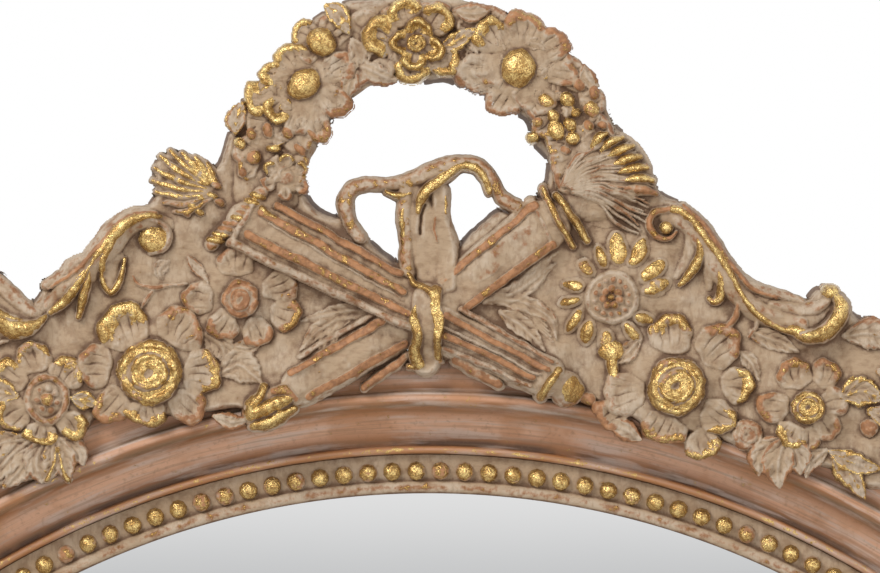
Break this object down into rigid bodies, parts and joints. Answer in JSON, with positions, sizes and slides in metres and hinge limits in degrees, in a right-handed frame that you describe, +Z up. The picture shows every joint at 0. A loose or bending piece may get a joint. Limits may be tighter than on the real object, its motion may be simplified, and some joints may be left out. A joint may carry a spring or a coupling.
{
  "type": "wall mirror",
  "caption": "Oval wall mirror with a beaded moulding and a carved crest of a flower wreath, ribbon bow, crossed quivers, roses and scrolls.",
  "frame": {"origin": "on the wall, midway between the pivots of the two hanger rings", "axes": "+X to the right seen from the front, +Y towards the wall, +Z up; the glass faces -Y"},
  "size_m": [0.7902, 0.0573, 1.0857],
  "materials": {
    "copper_moulding": "copper-brown patina over wood, worn gold specks",
    "gilded_bead": "taupe casting with worn gold on the beads",
    "patinated_casting": "taupe patina, copper and worn gold on the raised edges",
    "worn_gilding": "worn gold leaf",
    "silvered_glass": "silvered",
    "foam_sheet": "soft sheet",
    "hardboard": "pressed fibre",
    "plain_wood": "sawn",
    "rubber": "matt",
    "zinc_steel": "zinc plated"
  },
  "bodies": {
    "mirror": {"backing_board": "hardboard", "backing_clips": "zinc_steel", "bead_slip_bottom": "gilded_bead", "bead_slip_left": "gilded_bead", "bead_slip_right": "gilded_bead", "bead_slip_top": "gilded_bead", "bottom_rail": "copper_moulding", "bud_tip_left": "worn_gilding", "bud_tip_right": "worn_gilding", "clip_screws": "zinc_steel", "crest_board": "plain_wood", "crest_dowels": "plain_wood", "flame_tail": "patinated_casting", "fletching": "patinated_casting", "foam_cushion": "foam_sheet", "glue_blocks": "plain_wood", "hanger_screws": "zinc_steel", "hanger_strap_left": "zinc_steel", "hanger_strap_right": "zinc_steel", "leaf_spray_left": "patinated_casting", "leaf_spray_right": "patinated_casting", "left_rail": "copper_moulding", "mirror_glass": "silvered_glass", "quiver_band_left": "worn_gilding", "quiver_band_right": "worn_gilding", "quiver_fluted": "patinated_casting", "quiver_panelled": "patinated_casting", "quiver_panelled_foot": "patinated_casting", "rail_dowels": "plain_wood", "ribbon_bow": "patinated_casting", "ribbon_knot": "worn_gilding", "right_rail": "copper_moulding", "rose_left": "patinated_casting", "rose_right": "patinated_casting", "scroll_left": "patinated_casting", "scroll_right": "patinated_casting", "side_flower_left": "patinated_casting", "side_flower_right": "patinated_casting", "small_rose": "patinated_casting", "sunflower": "patinated_casting", "tail_leaves_left": "patinated_casting", "tail_leaves_right": "patinated_casting", "top_rail": "copper_moulding", "wall_bumper_left": "rubber", "wall_bumper_right": "rubber", "wreath_berries": "patinated_casting", "wreath_bud": "worn_gilding", "wreath_floret": "patinated_casting", "wreath_flower_left": "patinated_casting", "wreath_flower_right": "patinated_casting", "wreath_flower_top": "patinated_casting", "wreath_ring": "patinated_casting"},
    "d_ring_left": {"d_ring_left": "zinc_steel"},
    "d_ring_right": {"d_ring_right": "zinc_steel"}
  },
  "joints": [
    {"name": "ring_swing_left", "type": "hinge", "parent": "mirror", "child": "d_ring_left", "pos_m": [-0.32543, -0.00475, 0], "axis": [1, 0, 0], "range_deg": [0, 180]},
    {"name": "ring_swing_right", "type": "hinge", "parent": "mirror", "child": "d_ring_right", "pos_m": [0.32543, -0.00475, 0], "axis": [1, 0, 0], "range_deg": [0, 180]}
  ]
}
